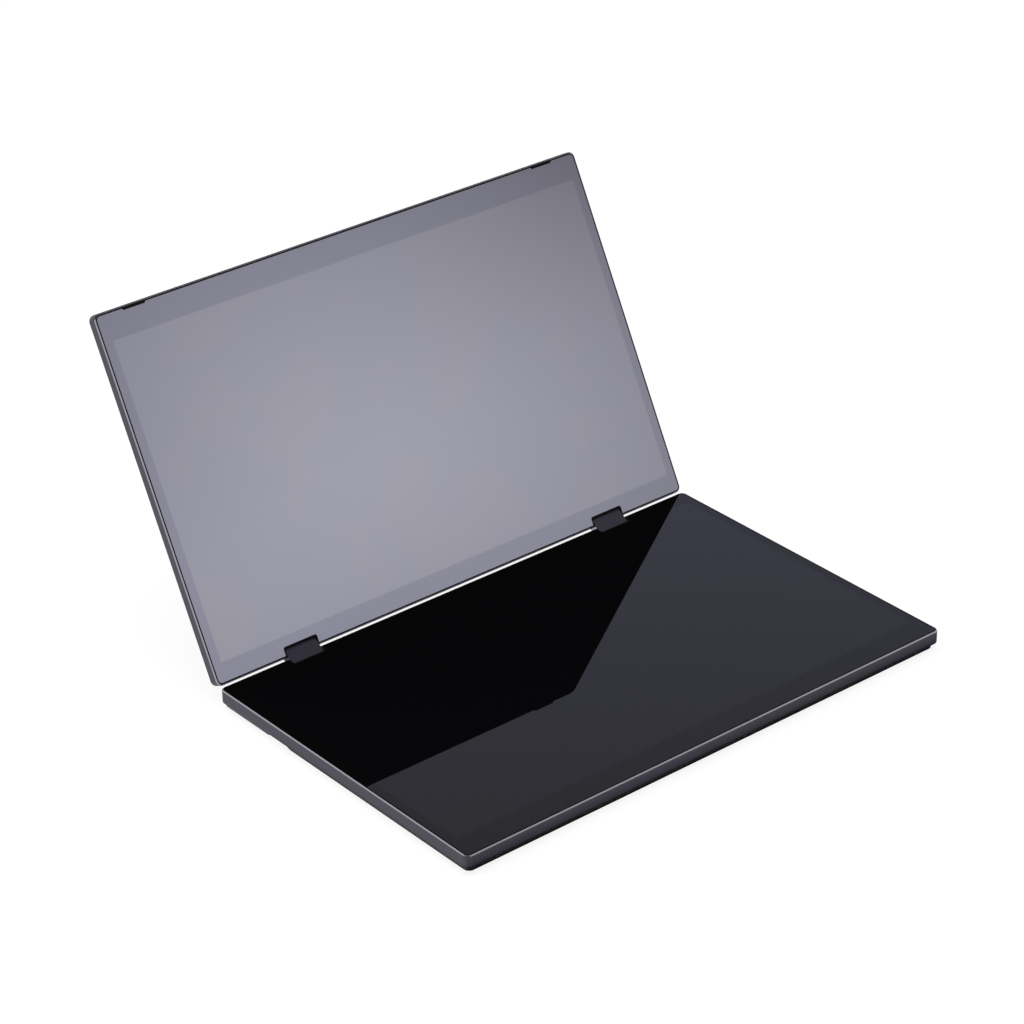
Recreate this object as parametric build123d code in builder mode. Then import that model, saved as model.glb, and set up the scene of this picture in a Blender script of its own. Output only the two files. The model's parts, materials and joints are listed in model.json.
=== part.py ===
"""Dual-screen portable monitor: two slim screens on a geared twin-axis hinge, with a fold-out stand.

Millimetres. X runs along the hinge, +Y to the rear, +Z up. The origin lies on the desk, under the middle of
the opened monitor. The base lies flat on its stand, and the lid stands open at open_angle.
Depths inside a panel are measured down from its rim, and places across it from its hinge edge.
"""
import os
from collections import namedtuple
from math import cos, pi, radians, sin

from build123d import *

os.makedirs("parts", exist_ok=True)

# Panel outline and walls
panel_width = 358.5
panel_depth = 223.7
open_angle = 117.7
corner_radius = 4.0
back_edge_radius = 1.5
rim_chamfer = 0.7
rim_width = 0.9
side_wall = 4.0
hollow_corner = 2.0
floor_thickness = 1.2
overrun = 1.0

# Screen stack
glass_thickness = 0.9
tape_thickness = 0.3
tape_lap = 2.0
seal_width = 0.7
seal_drop = 0.15
cell_side_gap = 0.75
cell_notch_gap = 2.5
cell_front_gap = 4.1
driver_strip = 9.0
cell_thickness = 1.0
backlight_thickness = 1.6
backlight_inset = 0.4

# Rubber bumpers on the lid's free edge
bumper_inset = 27.25
bumper_length = 16.0
bumper_slant = 1.0
bumper_bite = 0.9
bumper_relief = 0.1

# Twin-axis hinge
hinge_inset = 60.95
notch_width = 23.0
notch_gap = 0.35
notch_corner = 0.8
notch_rim = 0.5
notch_wall = 1.8
glass_gap = 0.15
pin_setback = 2.45
base_pin_gap = 0.5
lid_pin_gap = 0.25
closed_gap = 1.25
cover_radius = 3.3
cover_wall = 0.7
cover_end_wall = 0.8
cover_edge = 0.3
cover_gap = 0.4
shaft_radius = 1.25
run_gap = 0.05
slot_gap = 0.15
press_gap = 0.02
shaft_teeth = 12
idler_teeth = 9
tooth_root_share = 0.62
tooth_tip_share = 0.2
addendum_share = 0.8
dedendum_share = 1.2
gear_face = 3.0
gear_gap = 0.1
plate_thickness = 1.5
idler_pin_radius = 0.5
washer_room = 0.4
washer_thickness = 0.8
washer_count = 4
nut_room = 0.3
nut_thickness = 1.8
shaft_tail = 0.4

# Hinge brackets
bracket_gap = 0.3
leaf_width = 14.0
leaf_reach = 26.0
leaf_thickness = 1.0
leaf_corner = 1.2
tang_thickness = 1.2
tang_length = 8.0
rivet_radius = 0.7
rivet_head_radius = 1.1
rivet_head = 0.3
screw_radius = 0.7
screw_head_radius = 1.5
screw_head = 0.6
screw_bite = 1.6
boss_radius = 2.2
leaf_screw_step_x = 7.5
leaf_screw_step_y = 11.0
leaf_screw_inset = 3.5

# Hinge cable
cable_radius = 0.7
cable_gap = 0.2
cable_bend = 3.0
cable_turn = 2.0
cable_lead = 7.0
cable_shift = 5.0
cable_tail = 8.0
cable_lane = 7.0
cable_inset = 5.5
plug_length = 6.0
plug_width = 3.2
plug_head = 0.3

# Main board and its connectors
board_width = 79.0
board_rear = 30.0
board_front = 125.0
board_tab_lead = 6.35
board_room = 2.5
board_thickness = 1.0
board_lift = 0.8
board_edge_gap = 1.0
board_screw_inset = 5.0
connector_gap = 0.15
shield_width = 34.0
shield_gap = 0.4
shield_wall = 0.3
shield_share_x = 0.36
shield_share_y = 0.55
chip_height = 1.2
chip_width_share = 0.16
chip_depth_share = 0.09
chip_place_shares = ((0.75, 0.22), (0.3, 0.2), (0.72, 0.5), (0.7, 0.8))

# Sockets and keys in the right side wall
wall_skin = 1.0
socket_rise = 0.4
socket_room = 0.3
pocket_gap = 0.2
usb_step = 22.0
usb_pitch = 18.0
usb_width = 8.94
usb_height = 3.26
usb_length = 7.4
usb_wall = 0.3
usb_back = 1.2
usb_tongue_width = 6.7
usb_tongue = 0.7
usb_tongue_sink = 1.5
hdmi_step = 21.0
hdmi_width = 11.2
hdmi_height = 3.2
hdmi_length = 7.6
hdmi_wall = 0.35
hdmi_back = 1.2
hdmi_tongue_share = 0.72
hdmi_tongue = 0.6
hdmi_tongue_sink = 1.4
hdmi_shoulder_share = 0.1
hdmi_foot_share = 0.36
power_place = 18.0
power_width = 9.0
key_height = 3.0
key_gap = 0.2
key_sink = 0.05
flange_lap = 0.9
flange_thickness = 0.8
power_travel = 0.5
power_slack = 0.05
stem_width = 3.0
stem_height = 1.2
switch_gap = 0.1
switch_length = 3.0
switch_width = 4.0
switch_height = 2.0
rocker_step = 22.0
rocker_width = 17.0
rocker_slack = 0.55
rocker_stem_width = 1.2
rocker_stem_place = 6.5
rocker_pin_radius = 0.6
rocker_boss_radius = 1.2
rocker_pin_bite = 0.5

# Speakers
speaker_start = 30.0
speaker_leaf_gap = 4.7
speaker_depth = 14.0
speaker_height = 3.3
speaker_corner = 2.0
speaker_gap = 0.2
speaker_recess = 0.6
speaker_cone_share = 0.6
sound_slot_step = 4.0
sound_slot_width = 1.2
sound_slot_height = 2.8
sound_slot_rise = 0.35

# Lid driver board and ribbons
driver_lead = 13.35
driver_room = 1.5
driver_front = 40.0
driver_thickness = 0.8
driver_lift = 0.5
ribbon_width = 24.0
ribbon_thickness = 0.3
ribbon_lap = 4.0
ribbon_rise = 8.0
ribbon_plug = 0.7

# Stand under the base
stand_thickness = 3.0
stand_top_gap = 0.2
mount_depth = 45.0
mount_inset = 2.5
mount_rear_inset = 0.6
mount_corner = 3.0
mount_edge = 0.8
mount_screw_inset = 29.25
mount_screw_columns = 4
mount_screw_step_y = 26.0
mount_screw_place = 21.0
mount_screw_head_radius = 2.0
mount_screw_head = 0.9
mount_screw_bite = 0.9
mount_drive_length = 2.3
mount_drive_width = 0.55
mount_drive_depth = 0.5
stand_side_inset = 2.4
stand_front_inset = 2.2
stand_corner = 4.0
stand_heel_corner = 18.0
stand_gap = 0.4
stand_hinge_inset = 69.25
stand_lug_width = 18.0
stand_pin_radius = 0.8
stand_pin_bite = 9.0
stand_edge = 0.6
scoop_inset = 33.0
scoop_length = 28.0
scoop_depth = 5.0
foot_height = 0.8
foot_inset = 69.25
foot_length = 100.0
foot_depth = 6.0
foot_row = 21.0
grip_side_inset = 25.25
grip_depth = 9.0
grip_inset = 4.0
foot_corner = 2.0

# Stack-up: each panel is as thick as the layers that it holds
screen_depth = glass_thickness + cell_thickness + backlight_thickness
ledge_depth = glass_thickness + tape_thickness
board_top_depth = screen_depth + board_room
base_thickness = board_top_depth + board_thickness + board_lift + floor_thickness
driver_top_depth = screen_depth + driver_room
lid_thickness = driver_top_depth + driver_thickness + driver_lift + floor_thickness
base_pin_depth = screen_depth + base_pin_gap
lid_pin_depth = screen_depth + lid_pin_gap

# Hinge frame: the lid stands on the two links, each half of the opening turned
link_length = base_pin_depth + lid_pin_depth + closed_gap
lid_up = Vector(0, -cos(radians(open_angle)), sin(radians(open_angle)))
lid_front = Vector(0, -sin(radians(open_angle)), -cos(radians(open_angle)))
link_way = Vector(0, sin(radians(open_angle / 2)), cos(radians(open_angle / 2)))
link_side = Vector(0, -link_way.Z, link_way.Y)
pin_from_edge = Vector(0, -pin_setback, -base_pin_depth)
lid_from_edge = pin_from_edge + link_way * link_length - lid_up * pin_setback + lid_front * lid_pin_depth
lid_back_corner = (
    lid_from_edge + lid_up * (panel_depth - back_edge_radius) - lid_front * (lid_thickness - back_edge_radius)
)
rear_reach = lid_back_corner.Y + back_edge_radius
base_edge = Vector(0, (panel_depth - rear_reach) / 2, foot_height + stand_thickness + base_thickness)
base_pin = base_edge + pin_from_edge

# Each panel plane lies on the rim, starts at the hinge edge and runs away from the hinge along its y
Panel = namedtuple("Panel", "name plane thickness pin_depth")
base = Panel("base", Plane(base_edge, (-1, 0, 0), (0, 0, 1)), base_thickness, base_pin_depth)
lid = Panel("lid", Plane(base_edge + lid_from_edge, (1, 0, 0), lid_front), lid_thickness, lid_pin_depth)

# Depths and places that several pieces share
hinge_place = panel_width / 2 - hinge_inset
notch_depth = pin_setback + cover_radius + notch_gap
notch_inner = hinge_place - notch_width / 2
notch_outer = hinge_place + notch_width / 2
leaf_end = notch_inner - notch_wall - bracket_gap
leaf_start = pin_setback - shaft_radius
leaf_screw_place = leaf_reach - leaf_screw_inset - leaf_screw_step_y / 2
cell_width = panel_width - 2 * (side_wall + cell_side_gap)
cell_start = notch_depth + notch_wall + cell_notch_gap
cell_end = panel_depth - side_wall - cell_front_gap
bumper_place = panel_width / 2 - bumper_inset
cover_length = notch_width - 2 * cover_gap
cover_start = hinge_place - cover_length / 2
cover_end = hinge_place + cover_length / 2
gear_start = cover_start + plate_thickness + gear_gap
second_plate = gear_start + gear_face + gear_gap
washer_start = second_plate + plate_thickness + run_gap
washer_radius = cover_radius - cover_wall - washer_room
nut_radius = cover_radius - cover_wall - nut_room
nut_start = washer_start + washer_count * washer_thickness
shaft_end = nut_start + nut_thickness + shaft_tail
gear_module = link_length / (shaft_teeth + 2 * idler_teeth)
shaft_gear = gear_module * shaft_teeth / 2
idler_gear = gear_module * idler_teeth / 2
idler_places = (shaft_gear + idler_gear, shaft_gear + 3 * idler_gear)
cable_start = cover_end + cable_gap
cable_path = (
    (cable_start, pin_setback),
    (cable_start + cable_lead, pin_setback),
    (cable_start + cable_lead + cable_shift, cable_lane),
    (cable_start + cable_lead + cable_shift + cable_tail, cable_lane),
)
board_edge = panel_width / 2 - side_wall - board_edge_gap
board_tab_width = board_edge - cable_path[-1][0] + board_tab_lead
board_tab_rear = side_wall + board_edge_gap
shield_height = board_room - shield_gap
driver_width = board_edge - cable_path[-1][0] + driver_lead
socket_depth = board_top_depth - socket_rise
rocker_place = power_place + rocker_step
usb_places = (rocker_place + usb_step, rocker_place + usb_step + usb_pitch)
hdmi_place = usb_places[1] + hdmi_step
usb_mouth = usb_length - usb_back
hdmi_mouth = hdmi_length - hdmi_back
switch_front = panel_width / 2 - side_wall - power_travel - switch_gap
rocker_pivot = panel_width / 2 - wall_skin - rocker_slack - flange_thickness - rocker_boss_radius / 2
speaker_length = leaf_end - leaf_width - speaker_leaf_gap - speaker_start
speaker_place = speaker_start + speaker_length / 2
cone_depth = base_thickness - floor_thickness - speaker_height / 2
sound_slot_depth = cone_depth - sound_slot_rise
sound_slot_count = round((speaker_length - 6 * speaker_corner) / sound_slot_step)
bumper_proud = closed_gap - bumper_relief
plate_height = stand_thickness - stand_top_gap
stand_axis_depth = base_thickness + stand_top_gap + plate_height / 2
stand_axis_place = mount_depth + stand_gap + plate_height / 2
stand_hinge_place = panel_width / 2 - stand_hinge_inset
foot_place = panel_width / 2 - foot_inset
mount_screw_step_x = (panel_width - 2 * mount_screw_inset) / (mount_screw_columns - 1)


def save(piece, name):
    """Label a finished piece and write it to its own file."""
    piece.label = name
    export_step(piece, f"parts/{name}.step")


def across(panel, x):
    """Place along the hinge, as the panel's plane counts it."""
    return x * panel.plane.x_dir.X


def hinge_section(x):
    """Plane square to the hinge at x, starting on the base pin and running along the link."""
    return Plane((x, base_pin.Y, base_pin.Z), link_way, (1, 0, 0))


def side_face(place, depth):
    """Plane on the base's right side wall, looking in from the right."""
    return Plane((panel_width / 2, base_edge.Y - place, base_edge.Z - depth), (0, 1, 0), (1, 0, 0))


def panel_outline(inset, radius, notch_growth, notch_radius):
    """Panel outline pulled in by inset, less the hinge notches grown by notch_growth."""
    with Locations((0, panel_depth / 2)):
        RectangleRounded(panel_width - 2 * inset, panel_depth - 2 * inset, radius)
    with Locations((-hinge_place, 0), (hinge_place, 0)):
        RectangleRounded(
            notch_width + 2 * notch_growth, 2 * (notch_depth + notch_growth), notch_radius, mode=Mode.SUBTRACT
        )


def pocket_outline():
    """Recess inside the bright rim that takes the seal and the glass."""
    panel_outline(rim_width, corner_radius - rim_width, notch_rim, notch_corner + notch_rim)


def bumper_outline(growth, mode=Mode.ADD):
    """The two bumpers, tapering inward from the rim of the lid's free edge."""
    outer = panel_depth - rim_width
    inner = outer - seal_width - bumper_bite - growth
    half = bumper_length / 2 + growth
    for middle in (-bumper_place, bumper_place):
        Polygon(
            (middle - half, outer),
            (middle + half, outer),
            (middle + half - bumper_slant, inner),
            (middle - half + bumper_slant, inner),
            align=None,
            mode=mode,
        )


def glass_outline(panel):
    """Cover glass inside the seal, notched for the hinges and, on the lid, for the bumpers."""
    inset = rim_width + seal_width
    panel_outline(inset, corner_radius - inset, notch_rim + glass_gap, notch_corner + notch_rim + glass_gap)
    if panel is lid:
        bumper_outline(glass_gap, Mode.SUBTRACT)


def leaf_centre(panel, side):
    """Middle of a hinge bracket's leaf on its panel."""
    return (across(panel, side * (leaf_end - leaf_width / 2)), (leaf_start + leaf_reach) / 2)


def screw_spots(panel, *sides):
    """Middles of the bracket screw grids on the given sides."""
    return [(across(panel, side * (leaf_end - leaf_width / 2)), leaf_screw_place) for side in sides]


def screw_grid():
    """The four screws of one bracket about their middle."""
    return GridLocations(leaf_screw_step_x, leaf_screw_step_y, 2, 2)


def leaf_bottom(panel):
    """Depth of the underside of the bracket leaf, where its bosses stop."""
    return panel.pin_depth + tang_thickness / 2 + leaf_thickness


def cut_tray(panel):
    """Aluminium tray of one panel: chamfered rim, notches, glass recess, hollow, hinge pockets and bosses."""
    plane = panel.plane
    floor_depth = panel.thickness - floor_thickness
    with BuildPart() as tray:
        with BuildSketch(plane):
            with Locations((0, panel_depth / 2)):
                RectangleRounded(panel_width, panel_depth, corner_radius)
        extrude(amount=-panel.thickness)
        outward = Axis(plane.origin, plane.z_dir)
        chamfer(tray.faces().sort_by(outward)[-1].edges(), rim_chamfer)
        fillet(tray.faces().sort_by(outward)[0].edges(), back_edge_radius)
        with BuildSketch(plane):
            with Locations((-hinge_place, 0), (hinge_place, 0)):
                RectangleRounded(notch_width, 2 * notch_depth, notch_corner)
        extrude(amount=-panel.thickness, mode=Mode.SUBTRACT)
        with BuildSketch(plane):
            pocket_outline()
        extrude(amount=-ledge_depth, mode=Mode.SUBTRACT)
        with BuildSketch(plane.offset(-ledge_depth)):
            panel_outline(side_wall, hollow_corner, notch_wall, notch_corner + notch_wall)
        extrude(amount=ledge_depth - floor_depth, mode=Mode.SUBTRACT)

        # Pockets in the hinge wall for the bracket leaves, and slots that let the shafts in from above
        pocket_width = leaf_width + 2 * bracket_gap
        pocket_reach = side_wall + overrun - leaf_start + slot_gap
        pocket_middle = leaf_end + bracket_gap - pocket_width / 2
        with BuildSketch(plane.offset(-ledge_depth)):
            with Locations(
                (-pocket_middle, leaf_start - slot_gap + pocket_reach / 2),
                (pocket_middle, leaf_start - slot_gap + pocket_reach / 2),
            ):
                Rectangle(pocket_width, pocket_reach)
        extrude(amount=ledge_depth - leaf_bottom(panel), mode=Mode.SUBTRACT)
        with BuildSketch(plane.offset(-ledge_depth)):
            with Locations((-notch_inner, pin_setback), (notch_inner, pin_setback)):
                Rectangle(2 * (notch_wall + bracket_gap), 2 * (shaft_radius + slot_gap))
        extrude(amount=ledge_depth - panel.pin_depth - shaft_radius - slot_gap, mode=Mode.SUBTRACT)

        # Way of the hinge cable beside the right notch
        cable_wall = cable_radius + cable_gap
        way_length = cable_path[2][0] + cable_wall - notch_outer
        way_reach = side_wall + overrun - pin_setback + cable_wall
        with BuildSketch(plane.offset(-ledge_depth)):
            with Locations(
                (across(panel, notch_outer + way_length / 2), pin_setback - cable_wall + way_reach / 2)
            ):
                Rectangle(way_length, way_reach)
            with Locations((across(panel, notch_outer), pin_setback)):
                Rectangle(2 * cable_wall, 2 * cable_wall)
        extrude(amount=ledge_depth - panel.pin_depth - cable_wall, mode=Mode.SUBTRACT)

        # Bosses under the bracket leaves
        with BuildSketch(plane.offset(-floor_depth)):
            with Locations(*screw_spots(panel, -1, 1)):
                with screw_grid():
                    Circle(boss_radius)
        extrude(amount=floor_depth - leaf_bottom(panel))
        with BuildSketch(plane.offset(-leaf_bottom(panel))):
            with Locations(*screw_spots(panel, -1, 1)):
                with screw_grid():
                    Circle(screw_radius + press_gap)
        extrude(amount=-screw_bite, mode=Mode.SUBTRACT)
    return tray.part


# Screen stack of each panel: glass, seal, display cell and backlight
for panel in (base, lid):
    with BuildPart() as cover_glass:
        with BuildSketch(panel.plane):
            glass_outline(panel)
        extrude(amount=-glass_thickness)
    save(cover_glass.part, f"{panel.name}_cover_glass")

    with BuildPart() as glass_seal:
        with BuildSketch(panel.plane.offset(-ledge_depth)):
            pocket_outline()
            with BuildSketch(mode=Mode.SUBTRACT):
                panel_outline(
                    rim_width + seal_width + tape_lap, hollow_corner, notch_wall, notch_corner + notch_wall
                )
        extrude(amount=tape_thickness)
        with BuildSketch(panel.plane.offset(-glass_thickness)):
            pocket_outline()
            with BuildSketch(mode=Mode.SUBTRACT):
                glass_outline(panel)
                if panel is lid:
                    bumper_outline(glass_gap)
        extrude(amount=glass_thickness - seal_drop)
    save(glass_seal.part, f"{panel.name}_glass_seal")

    cell_depth = cell_end - cell_start
    cell_middle = (cell_start + cell_end) / 2
    with BuildPart() as lcd_cell:
        with BuildSketch(panel.plane.offset(-glass_thickness)):
            with Locations((0, cell_middle)):
                Rectangle(cell_width, cell_depth)
        extrude(amount=-cell_thickness)
    save(lcd_cell.part, f"{panel.name}_lcd_cell")

    with BuildPart() as backlight:
        with BuildSketch(panel.plane.offset(-glass_thickness - cell_thickness)):
            with Locations((0, cell_middle)):
                Rectangle(cell_width - 2 * backlight_inset, cell_depth - 2 * backlight_inset)
        extrude(amount=-backlight_thickness)
        outward = Axis(panel.plane.origin, panel.plane.z_dir)
        chamfer(backlight.faces().sort_by(outward)[0].edges(), backlight_inset)
    save(backlight.part, f"{panel.name}_backlight")


# Hinge brackets, screws and rivets of each panel
for panel in (base, lid):
    leaf_top = panel.plane.offset(-panel.pin_depth - tang_thickness / 2)
    tang_top = panel.plane.offset(-panel.pin_depth + tang_thickness / 2)
    rivet_place = leaf_end - tang_length / 2
    for side, side_name in ((-1, "left"), (1, "right")):
        with BuildPart() as bracket:
            with BuildSketch(leaf_top):
                with Locations(leaf_centre(panel, side)):
                    RectangleRounded(leaf_width, leaf_reach - leaf_start, leaf_corner)
                with Locations((across(panel, side * rivet_place), pin_setback)):
                    Circle(rivet_radius + press_gap, mode=Mode.SUBTRACT)
                with Locations(*screw_spots(panel, side)):
                    with screw_grid():
                        Circle(screw_radius + press_gap, mode=Mode.SUBTRACT)
                with Locations(*screw_spots(panel, side)):
                    SlotOverall(leaf_screw_step_y - 2 * leaf_corner, 2 * leaf_corner, 90, mode=Mode.SUBTRACT)
            extrude(amount=-leaf_thickness)
        save(bracket.part, f"{panel.name}_hinge_bracket_{side_name}")

    with BuildPart() as bracket_screws:
        with BuildSketch(leaf_top):
            with Locations(*screw_spots(panel, -1, 1)):
                with screw_grid():
                    Circle(screw_head_radius)
        extrude(amount=screw_head)
        with BuildSketch(leaf_top):
            with Locations(*screw_spots(panel, -1, 1)):
                with screw_grid():
                    Circle(screw_radius)
        extrude(amount=-leaf_thickness - screw_bite + press_gap)
    save(bracket_screws.part, f"{panel.name}_bracket_screws")

    with BuildPart() as rivets:
        with BuildSketch(tang_top):
            with Locations((-rivet_place, pin_setback), (rivet_place, pin_setback)):
                Circle(rivet_head_radius)
        extrude(amount=rivet_head)
        with BuildSketch(tang_top):
            with Locations((-rivet_place, pin_setback), (rivet_place, pin_setback)):
                Circle(rivet_radius)
        extrude(amount=-tang_thickness - leaf_thickness)
    save(rivets.part, f"{panel.name}_bracket_rivets")


def gear_outline(teeth, half_turned):
    """Straight-flanked pinion teeth about the active place, one tooth or one gap along the link."""
    pitch_radius = gear_module * teeth / 2
    root = pitch_radius - dedendum_share * gear_module
    tip = pitch_radius + addendum_share * gear_module
    step = 2 * pi / teeth
    start = step / 2 if half_turned else 0
    flank = (
        (root, -tooth_root_share / 2),
        (tip, -tooth_tip_share / 2),
        (tip, tooth_tip_share / 2),
        (root, tooth_root_share / 2),
    )
    points = []
    for tooth in range(teeth):
        for radius, turn_share in flank:
            angle = start + (tooth + turn_share) * step
            points.append((radius * cos(angle), radius * sin(angle)))
    Polygon(*points, align=None)


# Hinge shafts with their pinions, friction washers and nuts, on the base pin and on the lid pin
for panel, along in ((base, 0), (lid, link_length)):
    tang_top = panel.plane.offset(-panel.pin_depth + tang_thickness / 2)
    for side, side_name in ((-1, "left"), (1, "right")):
        tang_place = (across(panel, side * (leaf_end - tang_length / 2)), pin_setback)
        with BuildPart() as shaft:
            with BuildSketch(hinge_section(side * leaf_end)):
                with Locations((along, 0)):
                    Circle(shaft_radius)
            extrude(amount=side * (shaft_end - leaf_end))
            with BuildSketch(hinge_section(side * gear_start)):
                with Locations((along, 0)):
                    gear_outline(shaft_teeth, panel is lid)
            extrude(amount=side * gear_face)
            with BuildSketch(tang_top):
                with Locations(tang_place):
                    Rectangle(tang_length, 2 * shaft_radius)
                    Circle(rivet_radius + press_gap, mode=Mode.SUBTRACT)
            extrude(amount=-tang_thickness)
        save(shaft.part, f"{panel.name}_hinge_shaft_{side_name}")

    with BuildPart() as washers:
        for side in (-1, 1):
            for count in range(washer_count):
                with BuildSketch(hinge_section(side * (washer_start + count * washer_thickness))):
                    with Locations((along, 0)):
                        Circle(washer_radius)
                        Circle(shaft_radius + run_gap, mode=Mode.SUBTRACT)
                extrude(amount=side * (washer_thickness - press_gap))
    save(washers.part, f"{panel.name}_friction_washers")

    with BuildPart() as nuts:
        for side in (-1, 1):
            with BuildSketch(hinge_section(side * nut_start)):
                with Locations((along, 0)):
                    RegularPolygon(nut_radius, 6)
                    Circle(shaft_radius + press_gap, mode=Mode.SUBTRACT)
            extrude(amount=side * nut_thickness)
    save(nuts.part, f"{panel.name}_hinge_nuts")


# Hinge links: capsule covers, link plates and idler pins
for side, side_name in ((-1, "left"), (1, "right")):
    with BuildPart() as hinge_cover:
        with BuildSketch(hinge_section(side * cover_start)):
            with Locations((link_length / 2, 0)):
                SlotCenterToCenter(link_length, 2 * cover_radius)
        extrude(amount=side * cover_length)
        ends = hinge_cover.faces().filter_by(Axis.X)
        fillet(ends.edges(), cover_edge)
        with BuildSketch(hinge_section(side * cover_start)):
            with Locations((link_length / 2, 0)):
                SlotCenterToCenter(link_length, 2 * (cover_radius - cover_wall))
        extrude(amount=side * (cover_length - cover_end_wall), mode=Mode.SUBTRACT)
        if side > 0:
            with BuildSketch(hinge_section(cover_end)):
                with Locations((0, 0), (link_length, 0)):
                    Circle(cable_radius + cable_gap)
            extrude(amount=-cover_end_wall, mode=Mode.SUBTRACT)
    save(hinge_cover.part, f"hinge_cover_{side_name}")

    with BuildPart() as link_plates:
        for start in (cover_start, second_plate):
            with BuildSketch(hinge_section(side * start)):
                with Locations((link_length / 2, 0)):
                    SlotCenterToCenter(link_length, 2 * (cover_radius - cover_wall - press_gap))
                with Locations((0, 0), (link_length, 0)):
                    Circle(shaft_radius + run_gap, mode=Mode.SUBTRACT)
                with Locations((idler_places[0], 0), (idler_places[1], 0)):
                    Circle(idler_pin_radius + press_gap, mode=Mode.SUBTRACT)
            extrude(amount=side * plate_thickness)
    save(link_plates.part, f"link_plates_{side_name}")

with BuildPart() as idler_pins:
    for side in (-1, 1):
        with BuildSketch(hinge_section(side * cover_start)):
            with Locations((idler_places[0], 0), (idler_places[1], 0)):
                Circle(idler_pin_radius)
        extrude(amount=side * (second_plate + plate_thickness - cover_start))
save(idler_pins.part, "idler_pins")

for place, name in zip(idler_places, ("base_idler_gears", "lid_idler_gears")):
    with BuildPart() as idler_gears:
        for side in (-1, 1):
            with BuildSketch(hinge_section(side * gear_start)):
                with Locations((place, 0)):
                    gear_outline(idler_teeth, False)
                    Circle(idler_pin_radius + run_gap, mode=Mode.SUBTRACT)
            extrude(amount=side * gear_face)
    save(idler_gears.part, name)


# Cable through the right hinge: a length in the base, one in the link and one in the lid
for panel in (base, lid):
    with BuildPart() as hinge_cable:
        with BuildLine(panel.plane.offset(-panel.pin_depth)) as route:
            FilletPolyline(*[(across(panel, x), y) for x, y in cable_path], radius=cable_bend)
        with BuildSketch(Plane(route.line @ 0, z_dir=route.line % 0)):
            Circle(cable_radius)
        sweep()
    save(hinge_cable.part, f"{panel.name}_hinge_cable")

with BuildPart() as link_cable:
    with BuildLine(Plane(base_pin, (1, 0, 0), link_side)) as route:
        FilletPolyline(
            (cover_end, 0),
            (cover_end - cable_inset, 0),
            (cover_end - cable_inset, link_length),
            (cover_end, link_length),
            radius=cable_turn,
        )
    with BuildSketch(Plane(route.line @ 0, z_dir=route.line % 0)):
        Circle(cable_radius)
    sweep()
save(link_cable.part, "link_hinge_cable")


def board_corners():
    """Screw places of the main board, from its corners."""
    inner = board_edge - board_width + board_screw_inset
    outer = board_edge - board_screw_inset - usb_length
    rear = board_rear + board_screw_inset
    front = board_front - board_screw_inset
    return [(-inner, rear), (-inner, front), (-outer, front)]


def driver_corners():
    """Screw places of the lid's driver board."""
    inner = board_edge - driver_width + board_screw_inset
    outer = board_edge - board_screw_inset
    front = driver_front - board_screw_inset
    return [(inner, front), (outer, front)]


def hdmi_outline(growth):
    """Outline of the small video socket, wide above and narrowed below."""
    half_width = hdmi_width / 2 + growth
    half_height = hdmi_height / 2 + growth
    shoulder = -hdmi_shoulder_share * half_height
    foot = half_width - hdmi_foot_share * half_height
    Polygon(
        (-half_width, half_height),
        (half_width, half_height),
        (half_width, shoulder),
        (foot, -half_height),
        (-foot, -half_height),
        (-half_width, shoulder),
        align=None,
    )


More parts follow.
